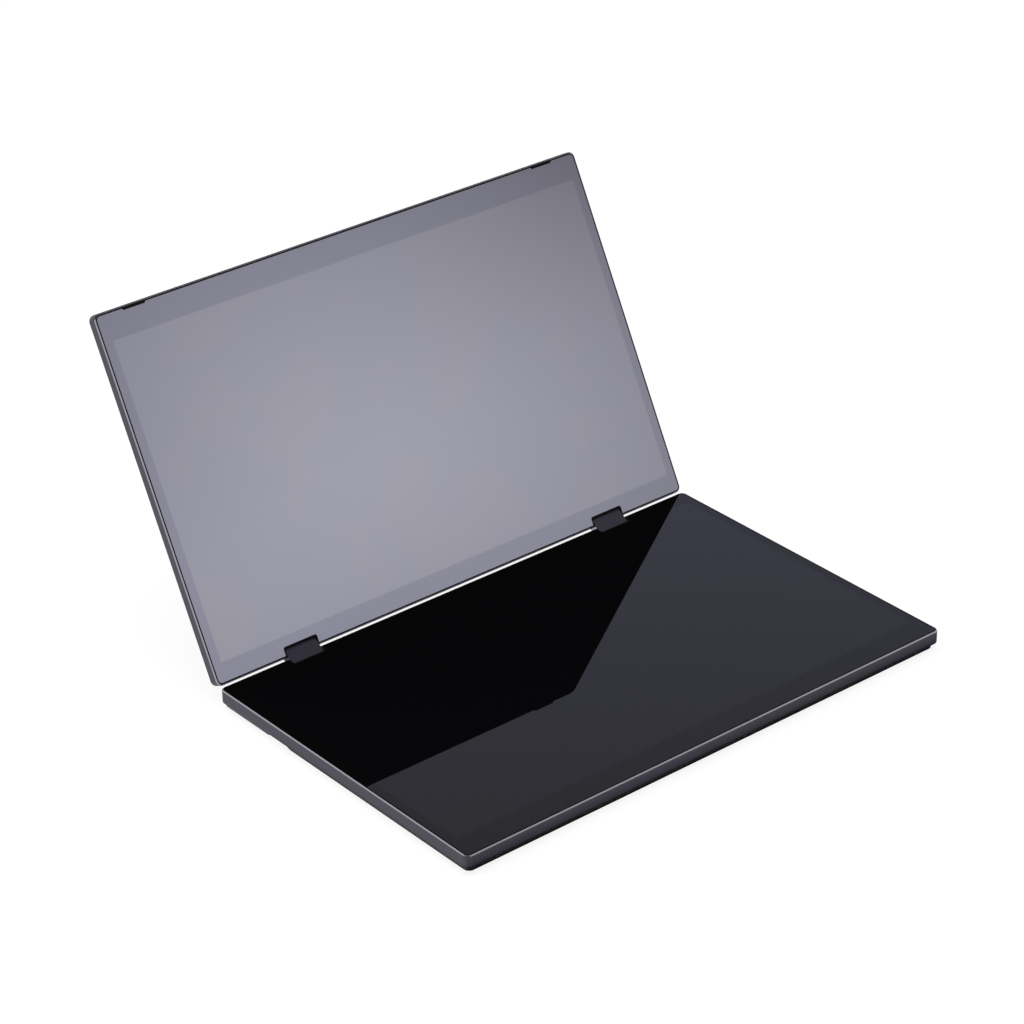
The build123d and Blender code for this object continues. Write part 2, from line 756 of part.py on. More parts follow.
# Base tray with its sockets, keys, sound slots, board bosses and stand screw holes
base_tray = cut_tray(base)
with BuildPart() as base_housing:
    add(base_tray)
    for place in usb_places:
        with BuildSketch(side_face(place, socket_depth)):
            SlotOverall(usb_width + 2 * socket_room, usb_height + 2 * socket_room)
        extrude(amount=-wall_skin, mode=Mode.SUBTRACT)
        with BuildSketch(side_face(place, socket_depth).offset(-wall_skin)):
            Rectangle(usb_width + 2 * socket_room, usb_height + 2 * pocket_gap)
        extrude(amount=wall_skin - side_wall - overrun, mode=Mode.SUBTRACT)
    with BuildSketch(side_face(hdmi_place, socket_depth)):
        hdmi_outline(socket_room)
    extrude(amount=-wall_skin, mode=Mode.SUBTRACT)
    with BuildSketch(side_face(hdmi_place, socket_depth).offset(-wall_skin)):
        Rectangle(hdmi_width + 2 * socket_room, hdmi_height + 2 * pocket_gap)
    extrude(amount=wall_skin - side_wall - overrun, mode=Mode.SUBTRACT)

    with BuildSketch(side_face(power_place, socket_depth)):
        SlotOverall(power_width, key_height)
    extrude(amount=-wall_skin, mode=Mode.SUBTRACT)
    flange_height = key_height + 2 * (flange_lap + pocket_gap)
    with BuildSketch(side_face(power_place, socket_depth).offset(-wall_skin)):
        Rectangle(power_width + 2 * (flange_lap + pocket_gap), flange_height)
    extrude(amount=wall_skin - side_wall - overrun, mode=Mode.SUBTRACT)
    with BuildSketch(side_face(rocker_place, socket_depth)):
        SlotOverall(rocker_width, key_height)
    extrude(amount=-wall_skin, mode=Mode.SUBTRACT)
    with BuildSketch(side_face(rocker_place, socket_depth).offset(-wall_skin)):
        Rectangle(rocker_width + 2 * (flange_lap + pocket_gap), flange_height)
    extrude(amount=wall_skin - side_wall - overrun, mode=Mode.SUBTRACT)
    pin_length = flange_height + 2 * rocker_pin_bite
    with BuildSketch(base.plane.offset(-socket_depth + pin_length / 2)):
        with Locations((-rocker_pivot, rocker_place)):
            Circle(rocker_pin_radius + press_gap)
    extrude(amount=-pin_length, mode=Mode.SUBTRACT)

    with BuildSketch(Plane(base_edge, (-1, 0, 0), (0, 1, 0)).offset(-side_wall)):
        with Locations((-speaker_place, -sound_slot_depth), (speaker_place, -sound_slot_depth)):
            with GridLocations(sound_slot_step, 0, sound_slot_count, 1):
                SlotOverall(sound_slot_height, sound_slot_width, 90)
    extrude(amount=side_wall, mode=Mode.SUBTRACT)

    floor_plane = base.plane.offset(floor_thickness - base_thickness)
    with BuildSketch(floor_plane):
        with Locations(*board_corners()):
            Circle(boss_radius)
    extrude(amount=board_lift)
    with BuildSketch(floor_plane.offset(board_lift)):
        with Locations(*board_corners()):
            Circle(screw_radius + press_gap)
    extrude(amount=-screw_bite, mode=Mode.SUBTRACT)
    with BuildSketch(base.plane.offset(-base_thickness)):
        with Locations((0, mount_screw_place)):
            with GridLocations(mount_screw_step_x, mount_screw_step_y, mount_screw_columns, 2):
                Circle(screw_radius + press_gap)
    extrude(amount=mount_screw_bite, mode=Mode.SUBTRACT)
save(base_housing.part, "base_housing")

# Lid tray with the bosses of its driver board
lid_tray = cut_tray(lid)
with BuildPart() as lid_housing:
    add(lid_tray)
    floor_plane = lid.plane.offset(floor_thickness - lid_thickness)
    with BuildSketch(floor_plane):
        with Locations(*driver_corners()):
            Circle(boss_radius)
    extrude(amount=driver_lift)
    with BuildSketch(floor_plane.offset(driver_lift)):
        with Locations(*driver_corners()):
            Circle(screw_radius + press_gap)
    extrude(amount=-driver_lift - floor_thickness / 2, mode=Mode.SUBTRACT)
save(lid_housing.part, "lid_housing")

with BuildPart() as lid_bumpers:
    with BuildSketch(lid.plane.offset(-glass_thickness)):
        bumper_outline(0)
    extrude(amount=glass_thickness + bumper_proud)
    free_tips = lid_bumpers.faces().sort_by(Axis(lid.plane.origin, lid.plane.z_dir))[-2:]
    fillet(free_tips.edges(), rim_chamfer / 2)
save(lid_bumpers.part, "lid_bumpers")

# Main board: notched for the sockets, with its chips and plugs
board_plane = base.plane.offset(-board_top_depth)
board_depth = board_front - board_rear
with BuildPart() as main_board:
    with BuildSketch(board_plane):
        with Locations((-board_edge + board_width / 2, (board_rear + board_front) / 2)):
            Rectangle(board_width, board_depth)
        with Locations((-board_edge + board_tab_width / 2, (board_tab_rear + board_rear) / 2)):
            Rectangle(board_tab_width, board_rear - board_tab_rear)
        for place in usb_places:
            with Locations((-panel_width / 2 + wall_skin, place)):
                Rectangle(
                    2 * (usb_length + connector_gap), usb_width + 2 * connector_gap, mode=Mode.SUBTRACT
                )
        with Locations((-panel_width / 2 + wall_skin, hdmi_place)):
            Rectangle(
                2 * (hdmi_length + connector_gap), hdmi_width + 2 * connector_gap, mode=Mode.SUBTRACT
            )
        with Locations(*board_corners()):
            Circle(screw_radius + press_gap, mode=Mode.SUBTRACT)
    extrude(amount=-board_thickness)
    with BuildSketch(board_plane):
        for share_x, share_y in chip_place_shares:
            with Locations((-board_edge + share_x * board_width, board_rear + share_y * board_depth)):
                Rectangle(chip_width_share * board_width, chip_depth_share * board_depth)
    extrude(amount=chip_height)
    with BuildSketch(board_plane):
        with Locations((-cable_path[-1][0] - plug_length / 2, cable_lane)):
            Rectangle(plug_length, plug_width)
    extrude(amount=board_top_depth - base_pin_depth + cable_radius + plug_head)
    with BuildSketch(board_plane):
        with Locations((-board_edge + board_width / 2, board_front - ribbon_lap / 2)):
            Rectangle(ribbon_width, ribbon_lap)
    extrude(amount=ribbon_plug)
save(main_board.part, "main_board")

with BuildPart() as board_shield:
    shield_spot = (-board_edge + shield_share_x * board_width, board_rear + shield_share_y * board_depth)
    with BuildSketch(board_plane):
        with Locations(shield_spot):
            RectangleRounded(shield_width, shield_width, hollow_corner)
    extrude(amount=shield_height)
    with BuildSketch(board_plane):
        with Locations(shield_spot):
            Rectangle(shield_width - 2 * hollow_corner, shield_width - 2 * hollow_corner)
    extrude(amount=shield_height - shield_wall, mode=Mode.SUBTRACT)
save(board_shield.part, "board_shield")

with BuildPart() as board_screws:
    with BuildSketch(board_plane):
        with Locations(*board_corners()):
            Circle(screw_head_radius)
    extrude(amount=screw_head)
    with BuildSketch(board_plane):
        with Locations(*board_corners()):
            Circle(screw_radius)
    extrude(amount=-board_thickness - screw_bite + press_gap)
save(board_screws.part, "board_screws")

# Sockets behind the skin of the right wall
with BuildPart() as usb_sockets:
    for place in usb_places:
        front = side_face(place, socket_depth).offset(-wall_skin)
        with BuildSketch(front):
            SlotOverall(usb_width, usb_height)
        extrude(amount=-usb_length)
        with BuildSketch(front):
            SlotOverall(usb_width - 2 * usb_wall, usb_height - 2 * usb_wall)
        extrude(amount=-usb_mouth, mode=Mode.SUBTRACT)
        with BuildSketch(front.offset(-usb_mouth)):
            Rectangle(usb_tongue_width, usb_tongue)
        extrude(amount=usb_mouth - usb_tongue_sink)
save(usb_sockets.part, "usb_c_sockets")

with BuildPart() as hdmi_socket:
    front = side_face(hdmi_place, socket_depth).offset(-wall_skin)
    with BuildSketch(front):
        hdmi_outline(0)
    extrude(amount=-hdmi_length)
    with BuildSketch(front):
        hdmi_outline(-hdmi_wall)
    extrude(amount=-hdmi_mouth, mode=Mode.SUBTRACT)
    with BuildSketch(front.offset(-hdmi_mouth)):
        Rectangle(hdmi_tongue_share * hdmi_width, hdmi_tongue)
    extrude(amount=hdmi_mouth - hdmi_tongue_sink)
save(hdmi_socket.part, "mini_hdmi_socket")

# Power button: cap in the skin, flange behind it, stem towards its switch
with BuildPart() as power_button:
    cap_front = side_face(power_place, socket_depth).offset(-key_sink)
    flange_front = side_face(power_place, socket_depth).offset(-wall_skin - power_slack)
    with BuildSketch(cap_front):
        SlotOverall(power_width - 2 * key_gap, key_height - 2 * key_gap)
    extrude(amount=key_sink - wall_skin - power_slack - flange_thickness)
    with BuildSketch(flange_front):
        SlotOverall(power_width + 2 * (flange_lap - key_gap), key_height + 2 * (flange_lap - key_gap))
    extrude(amount=-flange_thickness)
    with BuildSketch(flange_front.offset(-flange_thickness)):
        Rectangle(stem_width, stem_height)
    extrude(amount=wall_skin + power_slack + flange_thickness - side_wall)
save(power_button.part, "power_button")

# Menu rocker: long cap and flange with two stems, turning on an upright pin
with BuildPart() as menu_rocker:
    cap_front = side_face(rocker_place, socket_depth).offset(-key_sink)
    flange_front = side_face(rocker_place, socket_depth).offset(-wall_skin - rocker_slack)
    with BuildSketch(cap_front):
        SlotOverall(rocker_width - 2 * key_gap, key_height - 2 * key_gap)
    extrude(amount=key_sink - wall_skin - rocker_slack - flange_thickness)
    with BuildSketch(flange_front):
        SlotOverall(rocker_width + 2 * (flange_lap - key_gap), key_height + 2 * (flange_lap - key_gap))
    extrude(amount=-flange_thickness)
    with BuildSketch(flange_front.offset(-flange_thickness)):
        with Locations((-rocker_stem_place, 0), (rocker_stem_place, 0)):
            Rectangle(rocker_stem_width, stem_height)
    extrude(amount=wall_skin + rocker_slack + flange_thickness - side_wall)
    boss_height = key_height - 2 * key_gap
    with BuildSketch(base.plane.offset(-socket_depth + boss_height / 2)):
        with Locations((-rocker_pivot, rocker_place)):
            Circle(rocker_boss_radius)
    extrude(amount=-boss_height)
    with BuildSketch(base.plane):
        with Locations((-rocker_pivot, rocker_place)):
            Circle(rocker_pin_radius + run_gap)
    extrude(amount=-base_thickness, mode=Mode.SUBTRACT)
save(menu_rocker.part, "menu_rocker")

with BuildPart() as rocker_pin:
    with BuildSketch(base.plane.offset(-socket_depth + pin_length / 2)):
        with Locations((-rocker_pivot, rocker_place)):
            Circle(rocker_pin_radius)
    extrude(amount=-pin_length)
save(rocker_pin.part, "rocker_pin")

with BuildPart() as power_switch:
    with BuildSketch(board_plane):
        with Locations((-switch_front + switch_length / 2, power_place)):
            Rectangle(switch_length, switch_width)
    extrude(amount=switch_height)
save(power_switch.part, "power_switch")

with BuildPart() as menu_switches:
    with BuildSketch(board_plane):
        with Locations(
            (-switch_front + switch_length / 2, rocker_place - rocker_stem_place),
            (-switch_front + switch_length / 2, rocker_place + rocker_stem_place),
        ):
            Rectangle(switch_length, switch_width)
    extrude(amount=switch_height)
save(menu_switches.part, "menu_switches")

# Speakers on the base floor, facing the sound slots in the rear wall
for side, side_name in ((-1, "left"), (1, "right")):
    with BuildPart() as speaker:
        with BuildSketch(base.plane.offset(floor_thickness - base_thickness)):
            with Locations((-side * speaker_place, side_wall + speaker_gap + speaker_depth / 2)):
                RectangleRounded(speaker_length, speaker_depth, speaker_corner)
        extrude(amount=speaker_height)
        rear_face = Plane(base_edge, (-1, 0, 0), (0, 1, 0)).offset(-side_wall - speaker_gap)
        with BuildSketch(rear_face):
            with Locations((-side * speaker_place, -cone_depth)):
                SlotOverall(speaker_length - 4 * speaker_corner, speaker_cone_share * speaker_height)
        extrude(amount=-speaker_recess, mode=Mode.SUBTRACT)
    save(speaker.part, f"speaker_{side_name}")

# Lid driver board
driver_plane = lid.plane.offset(-driver_top_depth)
with BuildPart() as driver_board:
    with BuildSketch(driver_plane):
        with Locations((board_edge - driver_width / 2, (board_tab_rear + driver_front) / 2)):
            Rectangle(driver_width, driver_front - board_tab_rear)
        with Locations(*driver_corners()):
            Circle(screw_radius + press_gap, mode=Mode.SUBTRACT)
    extrude(amount=-driver_thickness)
    with BuildSketch(driver_plane):
        with Locations((cable_path[-1][0] + plug_length / 2, cable_lane)):
            Rectangle(plug_length, plug_width)
    extrude(amount=driver_top_depth - lid_pin_depth + cable_radius + plug_head)
    with BuildSketch(driver_plane):
        with Locations((board_edge - driver_width / 2, driver_front - ribbon_lap / 2)):
            Rectangle(ribbon_width, ribbon_lap)
    extrude(amount=ribbon_plug)
save(driver_board.part, "lid_driver_board")

with BuildPart() as driver_screws:
    with BuildSketch(driver_plane):
        with Locations(*driver_corners()):
            Circle(screw_head_radius)
    extrude(amount=screw_head)
    with BuildSketch(driver_plane):
        with Locations(*driver_corners()):
            Circle(screw_radius)
    extrude(amount=-driver_thickness - driver_lift - floor_thickness / 2 + press_gap)
save(driver_screws.part, "driver_board_screws")

# Flat ribbons from each board up to the display's driver strip
ribbon_ends = (
    (base, board_edge - board_width / 2, board_front, board_top_depth),
    (lid, board_edge - driver_width / 2, driver_front, driver_top_depth),
)
for panel, middle, start, top_depth in ribbon_ends:
    low = -top_depth + ribbon_plug + ribbon_thickness / 2
    high = -screen_depth - ribbon_thickness / 2
    start_x = across(panel, middle) - ribbon_width / 2
    corner = panel.plane.from_local_coords(Vector(start_x, 0, 0))
    section = Plane(corner, panel.plane.y_dir, panel.plane.x_dir)
    with BuildPart() as ribbon:
        with BuildSketch(section):
            with BuildLine():
                Polyline(
                    (start - ribbon_lap, low),
                    (start + ribbon_lap, low),
                    (start + ribbon_lap + ribbon_rise, high),
                    (cell_end - driver_strip / 2, high),
                )
            trace(line_width=ribbon_thickness)
        extrude(amount=ribbon_width)
    save(ribbon.part, f"{panel.name}_display_ribbon")

# Stand mount under the base's rear, with the lugs of the stand hinge
below_base = base.plane.offset(-base_thickness)
mount_width = panel_width - 2 * mount_inset
with BuildPart() as stand_mount:
    with BuildSketch(below_base):
        with Locations((0, (mount_rear_inset + mount_depth) / 2)):
            RectangleRounded(mount_width, mount_depth - mount_rear_inset, mount_corner)
    extrude(amount=-stand_thickness)
    fillet(stand_mount.faces().sort_by(Axis.Z)[0].edges(), mount_edge)
    with BuildSketch(below_base):
        with Locations((-hinge_place, 0), (hinge_place, 0)):
            RectangleRounded(notch_width, 2 * notch_depth, notch_corner)
    extrude(amount=-stand_thickness, mode=Mode.SUBTRACT)
    for side in (-1, 1):
        lug_start = side * stand_hinge_place - stand_lug_width / 2
        with BuildSketch(Plane((lug_start, base_edge.Y, base_edge.Z), (0, -1, 0), (1, 0, 0))):
            with Locations((stand_axis_place, stand_axis_depth)):
                Circle(plate_height / 2)
            with Locations((stand_axis_place - mount_corner / 2, stand_axis_depth)):
                Rectangle(mount_corner, plate_height)
            with Locations((stand_axis_place, stand_axis_depth)):
                Circle(stand_pin_radius + press_gap, mode=Mode.SUBTRACT)
        extrude(amount=stand_lug_width)
    with BuildSketch(below_base.offset(-stand_thickness)):
        with Locations((0, mount_screw_place)):
            with GridLocations(mount_screw_step_x, mount_screw_step_y, mount_screw_columns, 2):
                Circle(mount_screw_head_radius + press_gap)
    extrude(amount=mount_screw_head, mode=Mode.SUBTRACT)
    with BuildSketch(below_base.offset(-stand_thickness)):
        with Locations((0, mount_screw_place)):
            with GridLocations(mount_screw_step_x, mount_screw_step_y, mount_screw_columns, 2):
                Circle(screw_radius + press_gap)
    extrude(amount=stand_thickness, mode=Mode.SUBTRACT)
save(stand_mount.part, "stand_mount")

with BuildPart() as mount_screws:
    with BuildSketch(below_base.offset(mount_screw_head - stand_thickness)):
        with Locations((0, mount_screw_place)):
            with GridLocations(mount_screw_step_x, mount_screw_step_y, mount_screw_columns, 2):
                Circle(mount_screw_head_radius)
    extrude(amount=press_gap - mount_screw_head)
    with BuildSketch(below_base.offset(mount_screw_head - stand_thickness)):
        with Locations((0, mount_screw_place)):
            with GridLocations(mount_screw_step_x, mount_screw_step_y, mount_screw_columns, 2):
                Circle(screw_radius)
    extrude(amount=stand_thickness - mount_screw_head + mount_screw_bite - press_gap)
    with BuildSketch(below_base.offset(press_gap - stand_thickness)):
        with Locations((0, mount_screw_place)):
            with GridLocations(mount_screw_step_x, mount_screw_step_y, mount_screw_columns, 2):
                Rectangle(mount_drive_length, mount_drive_width)
                Rectangle(mount_drive_width, mount_drive_length)
    extrude(amount=mount_drive_depth, mode=Mode.SUBTRACT)
save(mount_screws.part, "stand_mount_screws")

with BuildPart() as rear_feet:
    with BuildSketch(below_base.offset(-stand_thickness)):
        with Locations((-foot_place, foot_row), (foot_place, foot_row)):
            RectangleRounded(foot_length, foot_depth, foot_corner)
    extrude(amount=-foot_height)
save(rear_feet.part, "rear_feet")

# Stand plate: round hinge edge, room for the mount's lugs, a finger scoop in its right side
plate_end = panel_depth - stand_front_inset
plate_width = panel_width - 2 * stand_side_inset
barrel_length = plate_width - 2 * stand_heel_corner
scoop_place = panel_depth - scoop_inset
with BuildPart() as stand_plate:
    with BuildSketch(below_base.offset(-stand_top_gap)) as plate_outline:
        with Locations((0, (stand_axis_place + plate_end) / 2)):
            Rectangle(plate_width, plate_end - stand_axis_place)
        fillet(plate_outline.vertices().sort_by(Axis.Y)[:2], stand_heel_corner)
        fillet(plate_outline.vertices().sort_by(Axis.Y)[-2:], stand_corner)
        with Locations((across(base, plate_width / 2), scoop_place)):
            SlotOverall(scoop_length, 2 * scoop_depth, 90, mode=Mode.SUBTRACT)
    extrude(amount=-plate_height)
    fillet(stand_plate.faces().sort_by(Axis.Z)[0].edges(), stand_edge)
    with BuildSketch(Plane((-barrel_length / 2, base_edge.Y, base_edge.Z), (0, -1, 0), (1, 0, 0))):
        with Locations((stand_axis_place, stand_axis_depth)):
            Circle(plate_height / 2)
    extrude(amount=barrel_length)
    for side in (-1, 1):
        with BuildSketch(below_base):
            with Locations((side * stand_hinge_place, stand_axis_place)):
                Rectangle(stand_lug_width + 2 * stand_gap, plate_height + 2 * stand_gap)
        extrude(amount=-stand_thickness - overrun, mode=Mode.SUBTRACT)
        bore_length = stand_lug_width + 2 * (stand_pin_bite + stand_gap)
        bore_start = side * stand_hinge_place - bore_length / 2
        with BuildSketch(Plane((bore_start, base_edge.Y, base_edge.Z), (0, -1, 0), (1, 0, 0))):
            with Locations((stand_axis_place, stand_axis_depth)):
                Circle(stand_pin_radius + run_gap)
        extrude(amount=bore_length, mode=Mode.SUBTRACT)
save(stand_plate.part, "stand_plate")

with BuildPart() as stand_pins:
    for side in (-1, 1):
        pin_span = stand_lug_width + 2 * stand_pin_bite
        pin_start = side * stand_hinge_place - pin_span / 2
        with BuildSketch(Plane((pin_start, base_edge.Y, base_edge.Z), (0, -1, 0), (1, 0, 0))):
            with Locations((stand_axis_place, stand_axis_depth)):
                Circle(stand_pin_radius)
        extrude(amount=pin_span)
save(stand_pins.part, "stand_pins")

with BuildPart() as stand_grip:
    with BuildSketch(below_base.offset(-stand_thickness)):
        with Locations((0, plate_end - grip_inset - grip_depth / 2)):
            RectangleRounded(plate_width - 2 * grip_side_inset, grip_depth, foot_corner)
    extrude(amount=-foot_height)
save(stand_grip.part, "stand_grip")
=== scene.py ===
"""Looks of the dual-screen portable monitor: finishes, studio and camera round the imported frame. Metres."""
import json
from math import cos, prod, radians, sin

import bpy
from mathutils import Matrix, Vector

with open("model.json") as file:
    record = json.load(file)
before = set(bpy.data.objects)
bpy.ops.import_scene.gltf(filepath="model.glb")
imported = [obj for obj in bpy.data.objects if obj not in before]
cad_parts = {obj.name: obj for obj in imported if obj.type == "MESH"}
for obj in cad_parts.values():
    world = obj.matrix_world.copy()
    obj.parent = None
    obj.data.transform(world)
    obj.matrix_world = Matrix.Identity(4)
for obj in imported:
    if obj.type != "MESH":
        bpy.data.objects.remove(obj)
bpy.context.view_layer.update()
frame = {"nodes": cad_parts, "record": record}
nodes = frame["nodes"]

MM = 0.001

# Where each panel's rim starts at the hinge, which way its screen faces and which way it runs from the hinge
OPENING = radians(117.7)
BASE_HEEL = Vector((0, 0.0564032, 0.0128))
BASE_FACE, BASE_RUN = Vector((0, 0, 1)), Vector((0, -1, 0))
LID_HEEL = Vector((0, 0.0571965, 0.0130295))
LID_FACE = Vector((0, -sin(OPENING), -cos(OPENING)))
LID_RUN = Vector((0, -cos(OPENING), sin(OPENING)))
PANELS = {"base": (BASE_HEEL, BASE_FACE, BASE_RUN), "lid": (LID_HEEL, LID_FACE, LID_RUN)}
ACROSS = (1, 0, 0)

# Sizes of the panels that the finishes follow
PANEL_MIDDLE = 112 * MM
RIM_CUT_DEPTH = 0.61 * MM
# Depth from the rim past which the walls get painted shade along their lower back edge
BACK_EDGE_DEPTH = 7.2 * MM
MOUNT_REACH = 50 * MM
NOTCH_PLACE, NOTCH_HALF_WIDTH, NOTCH_REACH = 118.3 * MM, 12.3 * MM, 6.7 * MM
FIELD_HALF_WIDTH, FIELD_START, FIELD_END = 172.1 * MM, 12.8 * MM, 206.6 * MM

# Sizes of the sockets
SOCKET_LEVEL = 7.2 * MM
TONGUE_FOOT, TONGUE_HALF_HEIGHT = 171.65 * MM, 0.38 * MM
CONTACT_PITCH, CONTACT_HALF_WIDTH = 0.5 * MM, 0.115 * MM

# Colours that masks bring in
BRIGHT_CUT = (0.365, 0.361, 0.408)
# Painted shade: near-black along the lower back edge and in the hinge notches
PAINTED_EDGE_SHADE = (0.008, 0.0075, 0.009)
NOTCH_PAINTED_SHADE = (0.006, 0.006, 0.007)
BORDER_BLACK = (0.0024, 0.0024, 0.0025)
FIELD_BLACK = (0.0022, 0.0022, 0.0028)
TONGUE_BLACK = (0.012, 0.012, 0.013)
GILT = (0.75, 0.52, 0.2)
TRACK_GREEN = (0.09, 0.2, 0.08)


class Tap:
    """An output socket. Arithmetic on taps and numbers adds Math nodes to the tree."""

    def __init__(self, finish, socket):
        self.finish = finish
        self.socket = socket

    def math(self, operation, first, second):
        return self.finish.add("ShaderNodeMath", {"operation": operation}, {0: first, 1: second})

    def __add__(self, other):
        return self.math("ADD", self, other)

    def __radd__(self, other):
        return self.math("ADD", other, self)

    def __sub__(self, other):
        return self.math("SUBTRACT", self, other)

    def __rsub__(self, other):
        return self.math("SUBTRACT", other, self)

    def __mul__(self, other):
        return self.math("MULTIPLY", self, other)

    def __rmul__(self, other):
        return self.math("MULTIPLY", other, self)

    def __mod__(self, other):
        return self.math("FLOORED_MODULO", self, other)

    def __abs__(self):
        return self.math("ABSOLUTE", self, 0)


class Finish:
    """One node tree being written: every node in it comes from add()."""

    def __init__(self, tree):
        self.tree = tree
        tree.nodes.clear()

    def add(self, kind, settings=None, sockets=None, out=0):
        """A node of a kind, with its settings and the values or links of its sockets."""
        node = self.tree.nodes.new(kind)
        for name, value in (settings or {}).items():
            setattr(node, name, value)
        for name, value in (sockets or {}).items():
            if isinstance(value, Tap):
                self.tree.links.new(value.socket, node.inputs[name])
            else:
                node.inputs[name].default_value = value
        return Tap(self, node.outputs[out]) if node.outputs else None

    def spot(self):
        """Where on the part a point lies."""
        return self.add("ShaderNodeTexCoord", out="Object")

    def along(self, vector, direction, start=(0, 0, 0)):
        """How far a vector reaches along a direction, from start."""
        offset = -Vector(direction).dot(Vector(start))
        return offset + self.add(
            "ShaderNodeVectorMath", {"operation": "DOT_PRODUCT"}, {0: vector, 1: direction}, "Value"
        )

    def facing(self, direction):
        """1 where the surface faces a direction, -1 where it faces away."""
        return self.along(self.add("ShaderNodeTexCoord", out="Normal"), direction)

    def rise(self, value, low, high):
        """0 below low, 1 above high, smooth between."""
        return self.add(
            "ShaderNodeMapRange",
            {"interpolation_type": "SMOOTHSTEP"},
            {0: value, 1: low, 2: high, 3: 0.0, 4: 1.0},
        )

    def step(self, value, place, soft):
        """0 before a place, 1 past it, softened on both sides."""
        return self.rise(value, place - soft, place + soft)

    def grain(self, size, detail=2.0, stretch=(1, 1, 1), rough=0.5):
        """Noise from 0 to 1 whose lumps are about size across."""
        place = self.add("ShaderNodeVectorMath", {"operation": "MULTIPLY"}, {0: self.spot(), 1: stretch})
        return self.add(
            "ShaderNodeTexNoise",
            {},
            {"Vector": place, "Scale": 1 / size, "Detail": detail, "Roughness": rough},
        )

    def cells(self, size, feature="F1"):
        """Distances in a pattern of cells about size across."""
        return self.add(
            "ShaderNodeTexVoronoi",
            {"feature": feature},
            {"Vector": self.spot(), "Scale": 1 / size},
            "Distance",
        )

    def shade(self, factor, first, second):
        """Colour between two colours."""
        return self.add(
            "ShaderNodeMix", {"data_type": "RGBA"}, {0: factor, 6: tint(first), 7: tint(second)}, 2
        )

    def vary(self, factor, colour, low, high):
        """One colour, from low to high times as bright."""
        return self.shade(factor, [c * low for c in colour], [c * high for c in colour])

    def bump(self, height, depth, strength=1.0):
        """Relief of a pattern, depth from its lowest to its highest."""
        return self.add("ShaderNodeBump", {}, {"Height": height, "Distance": depth, "Strength": strength})

    def surface(self, **sockets):
        """The shader of this finish. An underscore stands for a space in a socket's name."""
        named = {name.replace("_", " "): value for name, value in sockets.items()}
        named["Base Color"] = tint(named["Base Color"])
        shader = self.add("ShaderNodeBsdfPrincipled", {}, named)
        self.add("ShaderNodeOutputMaterial", {}, {"Surface": shader})


def tint(colour):
    """A colour with its alpha, or a tap as it is."""
    return colour if isinstance(colour, Tap) else (*colour, 1)


def start(name):
    """A new material, and its finish to write."""
    material = bpy.data.materials.new(name)
    material.use_nodes = True
    return material, Finish(material.node_tree)


# Finishes
def blasted_metal(name, panel, colour):
    """Bead-blasted, anodised aluminium: bright cut rim by the glass, painted shade along the lower back edge
    and in the hinge notches.
    """
    material, f = start(name)
    heel, face, run = PANELS[panel]
    depth = f.along(f.spot(), -face, heel)
    from_hinge = f.along(f.spot(), run, heel)
    slope = f.facing(face)
    chamfer = f.rise(slope, 0.3, 0.5) * (1 - f.rise(slope, 0.9, 0.97))
    cut = chamfer * (1 - f.step(depth, RIM_CUT_DEPTH, 0.05 * MM))
    # Painted shade: past the mount, the lower back edge of the walls darkens towards near-black, standing in
    # for the floor's shade
    deep = f.step(depth, BACK_EDGE_DEPTH, 0.6 * MM)
    past_mount = f.step(from_hinge, MOUNT_REACH, 4 * MM)
    painted_edge_shade = deep * past_mount * f.rise(slope, -0.97, -0.8)
    # Painted shade: the walls of the hinge notches turn near-black, rougher and less metallic, standing in
    # for the shade in these recesses
    aside = abs(abs(f.along(f.spot(), ACROSS)) - NOTCH_PLACE)
    beside = f.step(aside, NOTCH_HALF_WIDTH, 0.1 * MM)
    beyond = f.step(from_hinge, NOTCH_REACH, 0.1 * MM)
    notch_shade = (1 - beside) * (1 - beyond)
    beads = f.grain(0.35 * MM, 3.0)
    clouds = f.grain(28 * MM)
    dull = f.vary(beads * 0.5 + clouds * 0.5, colour, 0.86, 1.14)
    wall = f.shade(painted_edge_shade * 0.75, dull, PAINTED_EDGE_SHADE)
    f.surface(
        Base_Color=f.shade(notch_shade, f.shade(cut, wall, BRIGHT_CUT), NOTCH_PAINTED_SHADE),
        Metallic=0.92 - notch_shade * 0.5,
        Roughness=0.40 + beads * 0.08 + clouds * 0.05 - cut * 0.14 + notch_shade * 0.3,
        Normal=f.bump(beads * (1 - cut), 0.012 * MM, 0.6),
    )
    return material


def printed_glass(name, panel):
    """Cover glass, black-printed behind. The display's field shows a little lighter than its border."""
    material, f = start(name)
    heel, face, run = PANELS[panel]
    across = abs(f.along(f.spot(), ACROSS))
    from_hinge = f.along(f.spot(), run, heel)
    soft = 0.35 * MM
    field = (
        (1 - f.step(across, FIELD_HALF_WIDTH, soft))
        * f.step(from_hinge, FIELD_START, soft)
        * (1 - f.step(from_hinge, FIELD_END, soft))
    )
    smears = f.rise(f.grain(55 * MM, 4.0, rough=0.6), 0.42, 0.72)
    specks = f.grain(1.6 * MM)
    f.surface(
        Base_Color=f.shade(field, BORDER_BLACK, FIELD_BLACK),
        Roughness=0.008 + smears * 0.012 + specks * 0.004,
        IOR=1.5,
        Specular_IOR_Level=0.105,
        Specular_Tint=(0.8, 0.8, 1.0, 1.0),
        Coat_Weight=field * 0.21,
        Coat_IOR=1.17,
        Coat_Roughness=0.012,
    )
    return material


def soft_black(name, colour, size, depth, rough, gloss):
    """Rubber or moulded plastic with a fine stipple."""
    material, f = start(name)
    stipple = f.cells(size)
    clouds = f.grain(9 * MM, 3.0)
    f.surface(
        Base_Color=f.vary(clouds, colour, 0.75, 1.35),
        Roughness=rough + clouds * 0.1 - stipple * 0.08,
        Specular_IOR_Level=gloss,
        Normal=f.bump(stipple, depth, 0.7),
    )
    return material


